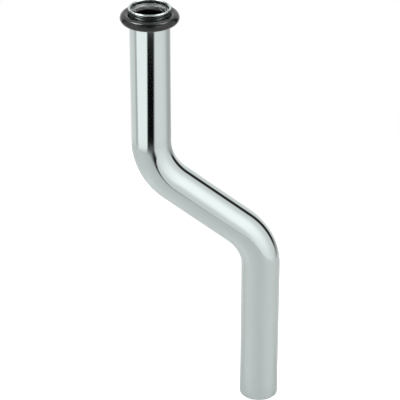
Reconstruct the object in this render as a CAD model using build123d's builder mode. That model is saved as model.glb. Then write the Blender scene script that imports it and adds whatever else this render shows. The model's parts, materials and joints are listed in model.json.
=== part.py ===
from build123d import *
import math
import os

# Urinal flush pipe: a thin brass tube bent into a shallow S, with a collar at its inlet mouth and a
# rubber sealing ring pushed on under that collar. It carries the flush water from the valve above to
# the bowl below, and stands off to one side because the two are not in line.
# Frame as installed, in millimetres: +Z up, origin at the centre of the inlet mouth, the outlet
# straight down and offset towards +X.

# Tube, as it is cut and bent
tube_diameter = 18.0
tube_wall = 1.0
pipe_height = 200.0
outlet_offset = 50.0
inlet_straight = 64.5
bend_radius = 27.0
bend_angle = 52.0

# Collar upset on the tube at the inlet mouth, which tapers back into the tube below its lip
collar_height = 2.0
collar_proud = 0.4

# Shallow recess turned inside the mouth, which runs out to the bore in a short cone
recess_width = 0.4 * tube_wall
recess_depth = 1.8
recess_run_out = 1.2

# Sealing ring of round section, stretched over the tube so that it flattens a little on its seat
seal_section = 4.2
seal_squeeze = 0.15
seal_gap_below_collar = 0.7

# Breaking of the two tube ends' edges: a lip rounded outside and bevelled inside, and a deburred cut
rim_width = tube_wall - recess_width + collar_proud
lip_round = 0.45 * rim_width
lip_bevel = rim_width - lip_round
outlet_chamfer = 0.3 * tube_wall

# Worked out from the sizes above
tube_radius = tube_diameter / 2
bore_radius = tube_radius - tube_wall
collar_radius = tube_radius + collar_proud
recess_radius = bore_radius + recess_width
mouth_depth = recess_depth + recess_run_out
seal_centre_radius = tube_radius + seal_section / 2 - seal_squeeze
seal_centre_height = -(collar_height + seal_gap_below_collar + seal_section / 2)

# Corners of the centreline, before its bends are rounded
bend_tangent = bend_radius * math.tan(math.radians(bend_angle / 2))
upper_knee_height = -(inlet_straight + bend_tangent)
lower_knee_height = upper_knee_height - outlet_offset / math.tan(math.radians(bend_angle))
tube_start = (0, 0, -mouth_depth)
upper_knee = (0, 0, upper_knee_height)
lower_knee = (outlet_offset, 0, lower_knee_height)
outlet_centre = (outlet_offset, 0, -pipe_height)

os.makedirs("parts", exist_ok=True)

# Pipe: the tube's ring-shaped section carried along the S, the mouth turned on top of it as one section
# of recess, lip and collar, and the outlet's cut deburred
with BuildPart() as flush_pipe:
    with BuildLine() as centreline:
        FilletPolyline(tube_start, upper_knee, lower_knee, outlet_centre, radius=bend_radius)
    with BuildSketch(Plane(origin=centreline.line @ 0, z_dir=centreline.line % 0)):
        Circle(tube_radius)
        Circle(bore_radius, mode=Mode.SUBTRACT)
    sweep()
    with BuildSketch(Plane.XZ):
        with BuildLine():
            lip_top = (collar_radius - lip_round, 0)
            lip_side = (collar_radius, -lip_round)
            TangentArc(lip_top, lip_side, tangent=(1, 0))
            Polyline(
                lip_side,
                (tube_radius, -collar_height),
                (tube_radius, -mouth_depth),
                (bore_radius, -mouth_depth),
                (recess_radius, -recess_depth),
                (recess_radius, -lip_bevel),
                lip_top,
            )
        make_face()
    revolve(axis=Axis.Z)
    outlet_edges = flush_pipe.edges().filter_by(GeomType.CIRCLE).group_by(Axis.Z)[0]
    chamfer(outlet_edges, length=outlet_chamfer)

# Seal: a round section with a narrow flat seat where the tube stretches it, turned about the inlet
with BuildPart() as seal_ring:
    with BuildSketch(Plane.XZ):
        with Locations((seal_centre_radius, seal_centre_height)):
            Circle(seal_section / 2)
        with Locations((0, seal_centre_height)):
            Rectangle(tube_radius, seal_section, align=(Align.MIN, Align.CENTER), mode=Mode.SUBTRACT)
    revolve(axis=Axis.Z)

flush_pipe.part.label = "flush_pipe"
export_step(flush_pipe.part, "parts/flush_pipe.step")
seal_ring.part.label = "seal_ring"
export_step(seal_ring.part, "parts/seal_ring.step")
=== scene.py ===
import json
import math

import bpy
import numpy as np
from mathutils import Matrix, Vector


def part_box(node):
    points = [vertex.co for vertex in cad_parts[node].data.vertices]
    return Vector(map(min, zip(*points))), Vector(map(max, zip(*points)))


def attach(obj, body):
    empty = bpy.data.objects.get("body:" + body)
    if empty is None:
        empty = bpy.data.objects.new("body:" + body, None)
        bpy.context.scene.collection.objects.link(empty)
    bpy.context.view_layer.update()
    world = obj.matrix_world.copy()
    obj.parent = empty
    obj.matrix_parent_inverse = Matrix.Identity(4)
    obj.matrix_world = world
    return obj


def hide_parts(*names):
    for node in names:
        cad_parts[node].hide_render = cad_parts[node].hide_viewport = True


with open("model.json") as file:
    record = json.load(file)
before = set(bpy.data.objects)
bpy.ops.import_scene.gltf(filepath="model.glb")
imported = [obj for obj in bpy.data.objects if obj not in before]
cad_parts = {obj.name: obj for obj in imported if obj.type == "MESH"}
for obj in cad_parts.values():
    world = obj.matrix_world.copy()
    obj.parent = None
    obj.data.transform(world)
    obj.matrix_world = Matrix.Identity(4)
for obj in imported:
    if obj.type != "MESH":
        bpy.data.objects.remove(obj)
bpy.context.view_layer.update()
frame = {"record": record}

# Flush pipe: one drawn brass tube, bent over a mandrel into a shallow S. Its inlet mouth is upset into a
# low collar that tapers back into the tube, with a shallow recess turned inside a rounded lip. It is
# polished along its length and chrome plated. Below a turned band in the mouth the bore stays unplated,
# and its colour there is painted nearly black as painted shade.
MM = 0.001
spigot = next(mount for mount in frame["record"]["mounts"] if mount["name"] == "outlet_spigot")
pipe_low, pipe_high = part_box("flush_pipe")
tube_radius = spigot["dims"]["r_mm"] * MM
tube_wall = 1.0 * MM
bore_radius = tube_radius - tube_wall
pipe_height = pipe_high.z - pipe_low.z
outlet_offset = spigot["pos_m"][0]
inlet_straight = 64.5 * MM
bend_radius = 27.0 * MM
bend_angle = math.radians(52.0)
collar_radius = -pipe_low.x
collar_height = 2.0 * MM
recess_radius = bore_radius + 0.4 * tube_wall
recess_depth = 1.8 * MM
mouth_depth = 3.0 * MM
lip_height = 0.47 * MM
lip_round = 0.42 * MM
lip_inner_round = 0.45 * MM
edge_round = 0.3 * MM
run_out_round = 0.8 * MM
wall_step = 1.0 * MM
around_count = 144

bend_length = bend_radius * bend_angle
knee_length = bend_radius * math.tan(bend_angle / 2)
slope_length = outlet_offset / math.sin(bend_angle) - 2 * knee_length
slope_start = inlet_straight + bend_length
lower_bend_start = slope_start + slope_length
outlet_start = lower_bend_start + bend_length
slope_drop = slope_length * math.cos(bend_angle) + 2 * bend_radius * math.sin(bend_angle)
pipe_length = outlet_start + pipe_height - inlet_straight - slope_drop


def rounded_outline(corners, step, arc_steps=9):
    """Closed outline through (x, y, rounding radius) corners: each corner becomes an arc of its radius,
    tangent to both its sides, and the straight stretch to the next arc is divided into equal steps."""
    places = np.array([corner[:2] for corner in corners])
    radii = [corner[2] for corner in corners]
    arcs = []
    for place, before, after, radius in zip(places, np.roll(places, 1, 0), np.roll(places, -1, 0), radii):
        back = (before - place) / np.linalg.norm(before - place)
        ahead = (after - place) / np.linalg.norm(after - place)
        half = np.arccos(np.clip(back @ ahead, -1, 1)) / 2
        middle = (back + ahead) / np.linalg.norm(back + ahead)
        centre = place + middle * radius / np.sin(half)
        turn = np.linspace(half - np.pi / 2, np.pi / 2 - half, arc_steps)[:, None]
        side = np.array([-middle[1], middle[0]])
        side = side * np.sign(side @ ahead)
        arcs.append(centre + radius * (np.sin(turn) * side - np.cos(turn) * middle))
    outline = []
    for arc, next_arc in zip(arcs, arcs[1:] + arcs[:1]):
        straight = next_arc[0] - arc[-1]
        count = max(1, int(np.ceil(np.linalg.norm(straight) / step)))
        share = np.arange(1, count)[:, None] / count
        outline.append(arc)
        outline.append(arc[-1] + share * straight)
    return np.concatenate(outline)


def bent_line(along):
    """Points of the centreline and its lean at each distance from the mouth. The line drops straight,
    turns through an arc, runs down the slope, turns back through the same arc and drops straight again,
    so each point is the sum of how far it has gone along those five stretches."""
    first_turn = np.clip(along - inlet_straight, 0, bend_length) / bend_radius
    slope = np.clip(along - slope_start, 0, slope_length)
    second_turn = np.clip(along - lower_bend_start, 0, bend_length) / bend_radius
    straight = np.minimum(along, inlet_straight) + np.maximum(along - outlet_start, 0)
    lean_left = bend_angle - second_turn
    sideways = bend_radius * (1 - np.cos(first_turn)) + slope * math.sin(bend_angle)
    sideways += bend_radius * (np.cos(lean_left) - math.cos(bend_angle))
    down = straight + bend_radius * np.sin(first_turn) + slope * math.cos(bend_angle)
    down += bend_radius * (math.sin(bend_angle) - np.sin(lean_left))
    return sideways, -down, first_turn - second_turn


def closed_grid(name, points):
    """Mesh object of a grid of points that closes on itself both ways: each point is joined to the next
    in its row and to the same place in the next row, with faces wound to point outwards."""
    rows, columns = points.shape[:2]
    number = np.arange(rows * columns).reshape(rows, columns)
    next_row = np.roll(number, -1, 0)
    next_column = np.roll(number, -1, 1)
    both = np.roll(next_row, -1, 1)
    faces = np.stack([number, next_row, both, next_column], -1).reshape(-1, 4)
    mesh = bpy.data.meshes.new(name)
    mesh.vertices.add(rows * columns)
    mesh.vertices.foreach_set("co", points.astype(np.float32).ravel())
    mesh.loops.add(faces.size)
    mesh.loops.foreach_set("vertex_index", faces.astype(np.int32).ravel())
    mesh.polygons.add(len(faces))
    mesh.polygons.foreach_set("loop_start", np.arange(0, faces.size, 4, dtype=np.int32))
    mesh.polygons.foreach_set("use_smooth", np.ones(len(faces), dtype=bool))
    mesh.update(calc_edges=True)
    mesh.validate()
    piece = bpy.data.objects.new(name, mesh)
    bpy.context.scene.collection.objects.link(piece)
    return piece


def keep_place(piece, name, places):
    """Stores a vector for each vertex, for a finish that follows the surface."""
    attribute = piece.data.attributes.new(name, "FLOAT_VECTOR", "POINT")
    attribute.data.foreach_set("vector", places.astype(np.float32).ravel())


# The wall's section as (distance along the tube, distance from its axis, rounding): down the outside from
# the lip, across the cut at the outlet, and back up the bore to the recess.
wall_outline = rounded_outline(
    [
        (0.0, collar_radius, lip_round),
        (lip_height, collar_radius, edge_round),
        (collar_height, tube_radius, edge_round),
        (pipe_length, tube_radius, edge_round),
        (pipe_length, bore_radius, edge_round),
        (mouth_depth, bore_radius, run_out_round),
        (recess_depth, recess_radius, edge_round),
        (0.0, recess_radius, lip_inner_round),
    ],
    wall_step,
)
along = wall_outline[:, :1]
radius = wall_outline[:, 1:]
around = np.linspace(0, 2 * np.pi, around_count, endpoint=False)[None, :]
sideways, height, lean = bent_line(along)
reach = radius * np.cos(around)
depthwise = radius * np.sin(around)
pipe_points = np.stack([sideways + reach * np.cos(lean), depthwise, height + reach * np.sin(lean)], -1)
flush_pipe = closed_grid("flush_pipe_plated", pipe_points)
keep_place(flush_pipe, "before_bending", np.stack([reach, depthwise, -along + 0 * around], -1))


class Signal:
    """One output socket of a finish. Arithmetic on it adds the Math node that works the value out."""

    def __init__(self, socket):
        self.socket = socket

    def node(self, kind, settings, sockets, output=0):
        """Adds a node of this kind beside the socket, with its settings first, and then the values or
        links of its sockets."""
        tree = self.socket.id_data
        made = tree.nodes.new(kind)
        for name, value in settings.items():
            setattr(made, name, value)
        for name, value in sockets.items():
            if isinstance(value, Signal):
                tree.links.new(value.socket, made.inputs[name])
            else:
                made.inputs[name].default_value = value
        return Signal(made.outputs[output])

    def math(self, operation, *values):
        return self.node("ShaderNodeMath", {"operation": operation}, dict(enumerate(values)))

    def __add__(self, other):
        return self.math("ADD", self, other)

    def __radd__(self, other):
        return self.math("ADD", other, self)

    def __sub__(self, other):
        return self.math("SUBTRACT", self, other)

    def __rsub__(self, other):
        return self.math("SUBTRACT", other, self)

    def __mul__(self, other):
        return self.math("MULTIPLY", self, other)

    def __rmul__(self, other):
        return self.math("MULTIPLY", other, self)

    def rise(self, low, high):
        """0 below low, 1 above high and a smooth step between."""
        return self.node(
            "ShaderNodeMapRange",
            {"interpolation_type": "SMOOTHSTEP"},
            {"Value": self, "From Min": low, "From Max": high},
        )

    def blend(self, first, second):
        """Colour that goes from first to second as this value goes from 0 to 1."""
        return self.node("ShaderNodeMix", {"data_type": "RGBA"}, {0: self, 6: first, 7: second}, 2)

    def times(self, factors):
        """This vector with each of its three parts multiplied by a factor."""
        return self.node("ShaderNodeVectorMath", {"operation": "MULTIPLY"}, {0: self, 1: factors})

    def part(self, axis):
        """Part of this vector along the X, Y or Z axis."""
        return self.node("ShaderNodeSeparateXYZ", {}, {"Vector": self}, axis)

    def from_axis(self):
        """Distance from the upright axis of the place that this vector gives."""
        level = self.times((1.0, 1.0, 0.0))
        return self.node("ShaderNodeVectorMath", {"operation": "LENGTH"}, {0: level}, "Value")

    def noise(self, scale, detail):
        """Noise of this many lumps in a metre at the places that this vector gives."""
        return self.node("ShaderNodeTexNoise", {}, {"Vector": self, "Scale": scale, "Detail": detail})


def new_finish(name, **constants):
    """Material with one Principled shader: constants are set on its own sockets. Returns the material,
    the shader, and the shader's output as the first socket to build on."""
    material = bpy.data.materials.new(name)
    material.use_nodes = True
    shader = material.node_tree.nodes["Principled BSDF"]
    for socket, value in constants.items():
        shader.inputs[socket.replace("_", " ")].default_value = value
    return material, shader, Signal(shader.outputs[0])


def feed(shader, **signals):
    """Links each signal to the shader's socket of that name."""
    for socket, signal in signals.items():
        shader.id_data.links.new(signal.socket, shader.inputs[socket.replace("_", " ")])


chrome_colours = (0.52, 0.575, 0.565, 1.0), (0.545, 0.60, 0.59, 1.0)
# Painted shade: the turned band's first colour is dark, standing for the shade in the recess's corner; the
# second is the band's pale colour below it.
turned_painted_shade_colours = (0.30, 0.32, 0.315, 1.0), (0.86, 0.88, 0.87, 1.0)
# Painted shade: the bore's near-black colour stands for the shade deep inside the tube.
bore_painted_shade_colour = (0.02, 0.018, 0.015, 1.0)
lip_inner_edge = recess_radius + 0.05 * MM, recess_radius + 0.1 * MM
turned_top = recess_depth - 0.1 * MM, recess_depth + 0.2 * MM
corner_painted_shade_span = recess_depth, recess_depth + 1.6 * MM
bore_painted_shade_edge = 4.2 * MM, 4.8 * MM
haze_scale = 90.0
marks_scale = 1400.0
marks_stretch = (1.0, 1.0, 0.02)
polish_height = 0.02 * MM
groove_scale = 2600.0
groove_height = 0.03 * MM


def plated_chrome():
    """Bright chrome over polished brass. The polishing leaves faint marks along the tube, seen as a
    change of gloss and a shallow relief. Inside the lip the gloss is lower. Below the recess comes a
    satin band with fine turned grooves, painted dark in the recess's corner as painted shade and paler
    below it, and then the unplated bore, painted nearly black as painted shade deep in the tube."""
    material, shader, start = new_finish("plated_chrome", Metallic=1.0)
    place = start.node("ShaderNodeAttribute", {"attribute_name": "before_bending"}, {}, "Vector")
    depth = -1.0 * place.part("Z")
    inside = 1 - place.from_axis().rise(*lip_inner_edge)
    satin = inside * depth.rise(*turned_top)
    # Painted shade: below the turned band the bore is painted nearly black.
    bore_painted_shade = inside * depth.rise(*bore_painted_shade_edge)
    marks = place.times(marks_stretch).noise(marks_scale, 3.0)
    haze = place.noise(haze_scale, 4.0)
    # Painted shade: the turned band is painted dark in the recess's corner and grows paler further down.
    turned = depth.rise(*corner_painted_shade_span).blend(*turned_painted_shade_colours)
    colour = bore_painted_shade.blend(satin.blend(haze.blend(*chrome_colours), turned), bore_painted_shade_colour)
    roughness = 0.03 + 0.02 * haze + 0.015 * marks + 0.2 * inside + 0.25 * satin
    polish = place.node(
        "ShaderNodeBump", {}, {"Strength": 0.02, "Distance": polish_height, "Height": marks}
    )
    grooves = place.node(
        "ShaderNodeTexNoise",
        {"noise_dimensions": "1D"},
        {"W": depth, "Scale": groove_scale, "Detail": 1.0},
    )
    relief = place.node(
        "ShaderNodeBump",
        {},
        {"Strength": 1.0, "Distance": groove_height, "Height": grooves * satin, "Normal": polish},
    )
    feed(shader, Base_Color=colour, Roughness=roughness, Normal=relief)
    return material


flush_pipe.data.materials.append(plated_chrome())
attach(flush_pipe, "root")
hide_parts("flush_pipe")

# Seal ring: a ring of black rubber with a round section, moulded in two halves and stretched over the
# tube below the collar, so that it sits on a narrow flat. A fine line of flash runs round its outside
# where the halves of the mould met.
ring_low, ring_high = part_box("seal_ring")
section_radius = (ring_high.z - ring_low.z) / 2
section_centre = ring_high.x - section_radius
ring_height = (ring_high.z + ring_low.z) / 2
flash_height = 0.05 * MM
flash_width = 0.16 * MM
section_count = 160
ring_count = 192


def ring_outline(count):
    """Section of the ring as (distance from the axis, height): a circle cut off by the flat seat, with
    a narrow bell-shaped ridge of flash at its outermost place."""
    turn = np.linspace(np.pi, -np.pi, count, endpoint=False)
    flash = flash_height * np.exp(-((turn * section_radius / flash_width) ** 2))
    out = section_centre + (section_radius - flash_height + flash) * np.cos(turn)
    up = ring_height + section_radius * np.sin(turn)
    return np.maximum(out, tube_radius)[:, None], up[:, None]


out, up = ring_outline(section_count)
around = np.linspace(0, 2 * np.pi, ring_count, endpoint=False)
ring_points = np.stack([out * np.cos(around), out * np.sin(around), up + 0 * around], -1)
seal_ring = closed_grid("seal_ring_rubber", ring_points)

rubber_colours = (0.006, 0.0065, 0.0065, 1.0), (0.011, 0.012, 0.0115, 1.0)
grain_scale = 2600.0
grain_height = 0.05 * MM
bloom_scale = 260.0
bloom_edge = 0.4, 0.75


def moulded_rubber():
    """Black rubber with the satin skin of its mould: a fine grain, and a faint grey bloom that takes
    the gloss down in patches."""
    material, shader, start = new_finish("moulded_rubber", Metallic=0.0, Specular_IOR_Level=0.42)
    place = start.node("ShaderNodeTexCoord", {}, {}, "Object")
    grain = place.noise(grain_scale, 2.0)
    bloom = place.noise(bloom_scale, 4.0).rise(*bloom_edge)
    roughness = 0.16 + 0.08 * bloom
    relief = place.node(
        "ShaderNodeBump", {}, {"Strength": 0.12, "Distance": grain_height, "Height": grain}
    )
    feed(shader, Base_Color=bloom.blend(*rubber_colours), Roughness=roughness, Normal=relief)
    return material


seal_ring.data.materials.append(moulded_rubber())
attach(seal_ring, "root")
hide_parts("seal_ring")

# Table: a round top of white acrylic that the outlet end stands on. It looks white to the camera and grey
# in the plating, keeps the pipe's soft shadow, and turns clear towards its edge, so that no rim shows.
table_radius = 0.295
table_sides = 96
table_clearing = 0.238, 0.286
table_height = pipe_low.z
table_tone = (0.65, 0.65, 0.65, 1.0)
white = (1.0, 1.0, 1.0, 1.0)
mirrored_glow = 0.08
camera_glow = 0.58

rim_turn = np.linspace(0, 2 * np.pi, table_sides, endpoint=False)
rim_points = np.stack(
    [table_radius * np.cos(rim_turn), table_radius * np.sin(rim_turn), table_height + 0 * rim_turn], -1
)
table_mesh = bpy.data.meshes.new("table_top")
table_mesh.from_pydata(rim_points.tolist(), [], [tuple(range(len(rim_points)))])
table_top = bpy.data.objects.new("table_top", table_mesh)
bpy.context.scene.collection.objects.link(table_top)


def bare_finish(name, kind):
    """Material with no shader but one of this kind. Returns it with that shader's output."""
    material = bpy.data.materials.new(name)
    material.use_nodes = True
    nodes = material.node_tree.nodes
    nodes.remove(nodes["Principled BSDF"])
    return material, Signal(nodes.new(kind).outputs[0])


def show(material, shader):
    """Makes this shader the one that the material shows."""
    tree = material.node_tree
    tree.links.new(shader.socket, tree.nodes["Material Output"].inputs["Surface"])


def seen_rays(start):
    """1 for rays from the camera and for rays that left a shiny or clear surface, otherwise 0."""
    names = ("Is Camera Ray", "Is Glossy Ray", "Is Transmission Ray")
    camera, glossy, clear = [start.node("ShaderNodeLightPath", {}, {}, name) for name in names]
    return camera.math("MAXIMUM", camera.math("MAXIMUM", camera, glossy), clear)


def white_acrylic():
    """Matt pale body that takes the shadow, with a glow added for what looks at it, most of it for the
    camera, under a soft gloss that grows at low angles. Towards the edge it all turns clear."""
    material, matt = bare_finish("white_acrylic", "ShaderNodeBsdfDiffuse")
    matt.socket.node.inputs["Color"].default_value = table_tone
    camera = matt.node("ShaderNodeLightPath", {}, {}, "Is Camera Ray")
    strength = mirrored_glow * seen_rays(matt) + camera_glow * camera
    glow = matt.node("ShaderNodeEmission", {}, {"Color": white, "Strength": strength})
    body = matt.node("ShaderNodeAddShader", {}, {0: matt, 1: glow})
    gloss = matt.node("ShaderNodeBsdfGlossy", {}, {"Roughness": 0.4})
    mirrored = matt.node("ShaderNodeFresnel", {}, {"IOR": 1.5})
    covered = matt.node("ShaderNodeMixShader", {}, {0: mirrored, 1: body, 2: gloss})
    clear = matt.node("ShaderNodeBsdfTransparent", {}, {})
    place = matt.node("ShaderNodeTexCoord", {}, {}, "Object")
    edge = place.from_axis().rise(*table_clearing)
    show(material, matt.node("ShaderNodeMixShader", {}, {0: edge, 1: covered, 2: clear}))
    return material


table_mesh.materials.append(white_acrylic())

# Surroundings: a white light tent, which is the world, with panels in its wall that only shiny surfaces
# mirror: pale cards, two bright lamps high at the sides, grey shades, and dark slots where the lens looks
# in, where the tent is seamed and where its ceiling is open.
tent_fill = 0.5
tent_white = 1.0
tent_radius = 12.0
panel_gap = 0.1
panel_columns = 25
panel_rows = 33

world = bpy.data.worlds.new("light_tent")
bpy.context.scene.world = world
world.use_nodes = True
background = world.node_tree.nodes["Background"]
strength = tent_fill + (tent_white - tent_fill) * seen_rays(Signal(background.outputs[0]))
background.inputs["Color"].default_value = white
world.node_tree.links.new(strength.socket, background.inputs["Strength"])


def tent_cloth(name, level, across, upwards):
    """Glow of one level that fades out to what lies behind it. Each of across and upwards gives the
    map's places where the glow starts, is full, starts to fade and has gone. It throws no light of its
    own on the table, so it isn't searched for as a lamp."""
    material, clear = bare_finish(name, "ShaderNodeBsdfTransparent")
    material.cycles.emission_sampling = "NONE"
    place = clear.node("ShaderNodeUVMap", {"uv_map": "tent"}, {})
    cover = 1.0
    for axis, (start, full, fading, gone) in zip("XY", (across, upwards)):
        way = place.part(axis)
        cover = way.rise(start, full) * (1 - way.rise(fading, gone)) * cover
    glow = clear.node("ShaderNodeEmission", {}, {"Color": white, "Strength": level})
    show(material, clear.node("ShaderNodeMixShader", {}, {0: cover, 1: clear, 2: glow}))
    return material


def tent_panel(name, level, azimuths, elevations, distance, lean=0.0):
    """Patch of a sphere about the pipe, mirrored but not seen. Azimuths and elevations are the degrees
    where the panel starts, is full, starts to fade and has gone, with azimuth 0 at the front and 90 to
    the right. Its map holds the azimuth and elevation of each place. A panel that leans is turned to the
    left by lean degrees for each degree below its top."""
    azimuth, elevation = np.meshgrid(
        np.linspace(azimuths[0], azimuths[3], panel_columns),
        np.linspace(elevations[0], elevations[3], panel_rows),
    )
    turn = np.radians(azimuth + lean * (elevation - elevations[3]))
    rise = np.radians(elevation)
    points = distance * np.stack(
        [np.cos(rise) * np.sin(turn), -np.cos(rise) * np.cos(turn), np.sin(rise)], -1
    )
    points[..., 2] += (pipe_low.z + pipe_high.z) / 2
    number = np.arange(azimuth.size).reshape(azimuth.shape)
    faces = np.stack([number[:-1, :-1], number[:-1, 1:], number[1:, 1:], number[1:, :-1]], -1)
    faces = faces.reshape(-1, 4)
    mesh = bpy.data.meshes.new(name)
    mesh.from_pydata(points.reshape(-1, 3).tolist(), [], faces.tolist())
    mapped = np.stack([azimuth.ravel(), elevation.ravel()], -1)[faces.ravel()]
    mesh.uv_layers.new(name="tent").data.foreach_set("uv", mapped.astype(np.float32).ravel())
    mesh.materials.append(tent_cloth(name, level, azimuths, elevations))
    panel = bpy.data.objects.new(name, mesh)
    bpy.context.scene.collection.objects.link(panel)
    panel.visible_camera = False
    panel.visible_diffuse = False
    panel.visible_shadow = False


# Each panel's name, brightness, azimuths and elevations, from the outermost inwards, and the lean of one
tent_wall = [
    ("back_card", 1.15, (150, 160, 205, 215), (-25, -10, 8, 16)),
    ("right_card", 1.6, (15, 34, 52, 102), (-42, 20, 45, 65)),
    ("right_shade", 0.6, (84, 118, 142, 160), (-75, -60, -20, -8)),
    ("left_card", 1.42, (-82, -78, -14, -10), (-75, -65, 10, 25)),
    ("left_seam", 0.7, (-102, -92, -86, -80), (-75, -60, 0, 12)),
    ("left_lamp", 15.0, (-125, -115, -80, -70), (48, 54, 70, 76)),
    ("right_lamp", 7.5, (70, 80, 115, 125), (48, 54, 70, 76)),
    ("front_shade", 0.4, (-50, -38, 18, 26), (2, 8, 40, 48)),
    ("under_lens", 0.005, (-19, -10, 19, 31), (-45, -40, -23.1, -22.7), 2.0),
    ("lens_slot", 0.02, (-17, -11, 11, 17), (3, 10, 60, 70)),
    ("dark_ceiling", 0.05, (-65, -50, 50, 65), (38, 46, 86, 90)),
    ("side_slot", 0.02, (106, 115, 128, 136), (-24, -6, 40, 50)),
    ("back_slot", 0.02, (232, 238, 249, 255), (-20, -13, 30, 40)),
]
for order, (name, level, azimuths, elevations, *lean) in enumerate(tent_wall):
    tent_panel(name, level, azimuths, elevations, tent_radius - panel_gap * order, *lean)

# Lamps: two equal soft boxes, at the left and the right, and a weak one behind, aimed down at the middle of
# the pipe. They light the table and the rubber, and the plating mirrors the tent's panels instead of them.
# Each has an azimuth in degrees and a power in watts.
boxes = {"left_box": (-72.0, 1.5), "right_box": (72.0, 1.5), "back_box": (180.0, 0.4)}
box_elevation = math.radians(50.0)
box_distance = 0.5
box_side = 0.24


def soft_box(name, azimuth, power):
    """Square area lamp at an azimuth about the middle of the pipe, aimed at it."""
    middle = Vector((outlet_offset / 2, 0.0, (pipe_low.z + pipe_high.z) / 2))
    level = math.cos(box_elevation)
    away = Vector((level * math.sin(azimuth), -level * math.cos(azimuth), math.sin(box_elevation)))
    lamp = bpy.data.lights.new(name, "AREA")
    lamp.shape = "SQUARE"
    lamp.size = box_side
    lamp.energy = power
    box = bpy.data.objects.new(name, lamp)
    aimed = away.to_track_quat("Z", "Y").to_matrix().to_4x4()
    box.matrix_world = Matrix.Translation(middle + away * box_distance) @ aimed
    box.visible_camera = False
    box.visible_glossy = False
    bpy.context.scene.collection.objects.link(box)


for name, (azimuth, power) in boxes.items():
    soft_box(name, math.radians(azimuth), power)

# Camera: a long lens in front of the pipe, almost square to the plane of its bends, which looks down at the
# middle of the pipe by nearly thirty degrees.
camera_place = Vector((3.38, -774.38, 328.22)) * MM
camera_aim = Vector((21.82, 0.0, -95.38)) * MM
camera_data = bpy.data.cameras.new("long_lens")
camera_data.sensor_width = 36.0
camera_data.lens = 174.18
camera = bpy.data.objects.new("long_lens", camera_data)
looking = (camera_aim - camera_place).to_track_quat("-Z", "Y").to_matrix().to_4x4()
camera.matrix_world = Matrix.Translation(camera_place) @ looking
bpy.context.scene.collection.objects.link(camera)
bpy.context.scene.camera = camera
bpy.context.scene.view_settings.view_transform = "Standard"
